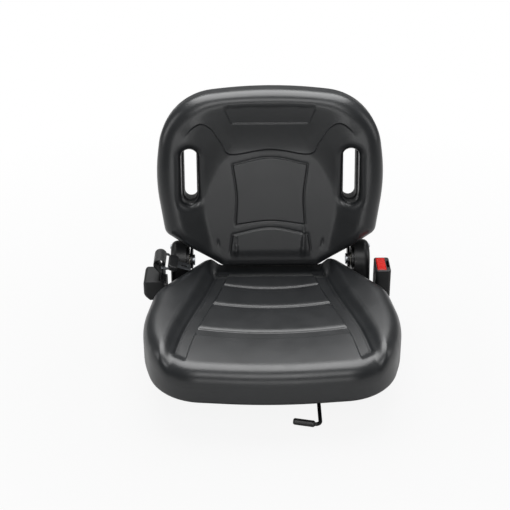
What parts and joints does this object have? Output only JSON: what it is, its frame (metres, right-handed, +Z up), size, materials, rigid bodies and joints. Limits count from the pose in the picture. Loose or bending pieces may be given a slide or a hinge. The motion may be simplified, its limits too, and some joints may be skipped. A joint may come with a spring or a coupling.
{
  "type": "tractor seat",
  "caption": "Black moulded tractor seat with a dished, reclining backrest with hand slots, slide rails with a release bar, and a lap belt with retractor and buckle.",
  "frame": {"origin": "centre of the four mounting holes, on the plane that the rails stand on", "axes": "+Z up, +Y towards the back of the seat, +X towards the left hand of the person in the seat"},
  "size_m": [0.4946, 0.5057, 0.486],
  "materials": {
    "black_vinyl": "grained, satin",
    "shell_plastic": "fine texture",
    "black_plastic": "satin",
    "grip_rubber": "satin",
    "red_plastic": "gloss",
    "nylon": "natural",
    "black_paint": "powder coat",
    "zinc_steel": "zinc plated",
    "webbing": "woven"
  },
  "bodies": {
    "base": {"lower_rail_left": "black_paint", "lower_rail_right": "black_paint", "latch_rack": "black_paint"},
    "seat": {"upper_rail_left": "black_paint", "upper_rail_right": "black_paint", "slide_shoes": "nylon", "cross_member_front": "black_paint", "cross_member_rear": "black_paint", "rail_bolts": "zinc_steel", "rail_nuts": "zinc_steel", "seat_pan": "black_paint", "seat_cushion": "black_vinyl", "side_bracket_left": "black_paint", "side_bracket_right": "black_paint", "bracket_bolts": "zinc_steel", "bracket_nuts": "zinc_steel", "hinge_bushes": "nylon", "pawl_pin": "zinc_steel", "hinge_cover_left": "black_plastic", "hinge_cover_right": "black_plastic", "cover_screws": "zinc_steel", "retractor_bracket": "black_paint", "buckle_bracket": "black_paint", "belt_bracket_bolts": "zinc_steel", "belt_bracket_nuts": "zinc_steel", "retractor_frame": "zinc_steel", "retractor_cover": "black_plastic", "retractor_bolt": "zinc_steel", "belt_webbing": "webbing", "tongue_plate": "zinc_steel", "tongue_grip": "black_plastic", "buckle_bolt": "zinc_steel", "buckle_nut": "zinc_steel", "rod_brackets": "black_paint"},
    "spool": {"spool_shaft": "zinc_steel", "belt_roll": "webbing"},
    "release": {"release_rod": "black_paint", "release_grip": "grip_rubber", "latch_claw": "black_paint"},
    "backrest": {"backrest_cushion": "black_vinyl", "back_shell": "shell_plastic", "hinge_arm_left": "black_paint", "hinge_arm_right": "black_paint", "arm_bolts": "zinc_steel", "hinge_shafts": "zinc_steel", "hinge_nuts": "zinc_steel", "recline_quadrant": "zinc_steel"},
    "lever": {"recline_lever": "black_paint", "recline_grip": "grip_rubber"},
    "buckle": {"buckle_strap": "zinc_steel", "buckle_housing": "black_plastic"},
    "button": {"buckle_button": "red_plastic"}
  },
  "joints": [
    {"name": "seat_slide", "type": "slide", "parent": "base", "child": "seat", "axis": [0, 1, 0], "range_m": [-0.05, 0.05]},
    {"name": "slide_release", "type": "hinge", "parent": "seat", "child": "release", "pos_m": [0.084, 0, 0.015], "axis": [0, 1, 0], "range_deg": [0, 8], "stiffness_Nm_per_rad": 0.6, "springref_deg": -9.74},
    {"name": "backrest_recline", "type": "hinge", "parent": "seat", "child": "backrest", "pos_m": [0, 0.15, 0.129], "axis": [1, 0, 0], "range_deg": [-20, 10]},
    {"name": "recline_lever", "type": "hinge", "parent": "seat", "child": "lever", "pos_m": [0.179, 0.122, 0.092], "axis": [1, 0, 0], "range_deg": [-6, 0], "stiffness_Nm_per_rad": 1, "springref_deg": 11.46},
    {"name": "buckle_swivel", "type": "hinge", "parent": "seat", "child": "buckle", "pos_m": [0.2238, 0.093, 0.066], "axis": [1, 0, 0], "range_deg": [-25, 8]},
    {"name": "button_press", "type": "slide", "parent": "buckle", "child": "button", "axis": [0, 0, -1], "range_m": [0, 0.004], "stiffness_N_per_m": 800, "springref_m": -0.004},
    {"name": "spool_spin", "type": "hinge", "parent": "seat", "child": "spool", "pos_m": [-0.235, 0.086, 0.112], "axis": [0, 1, 0], "continuous": true}
  ]
}
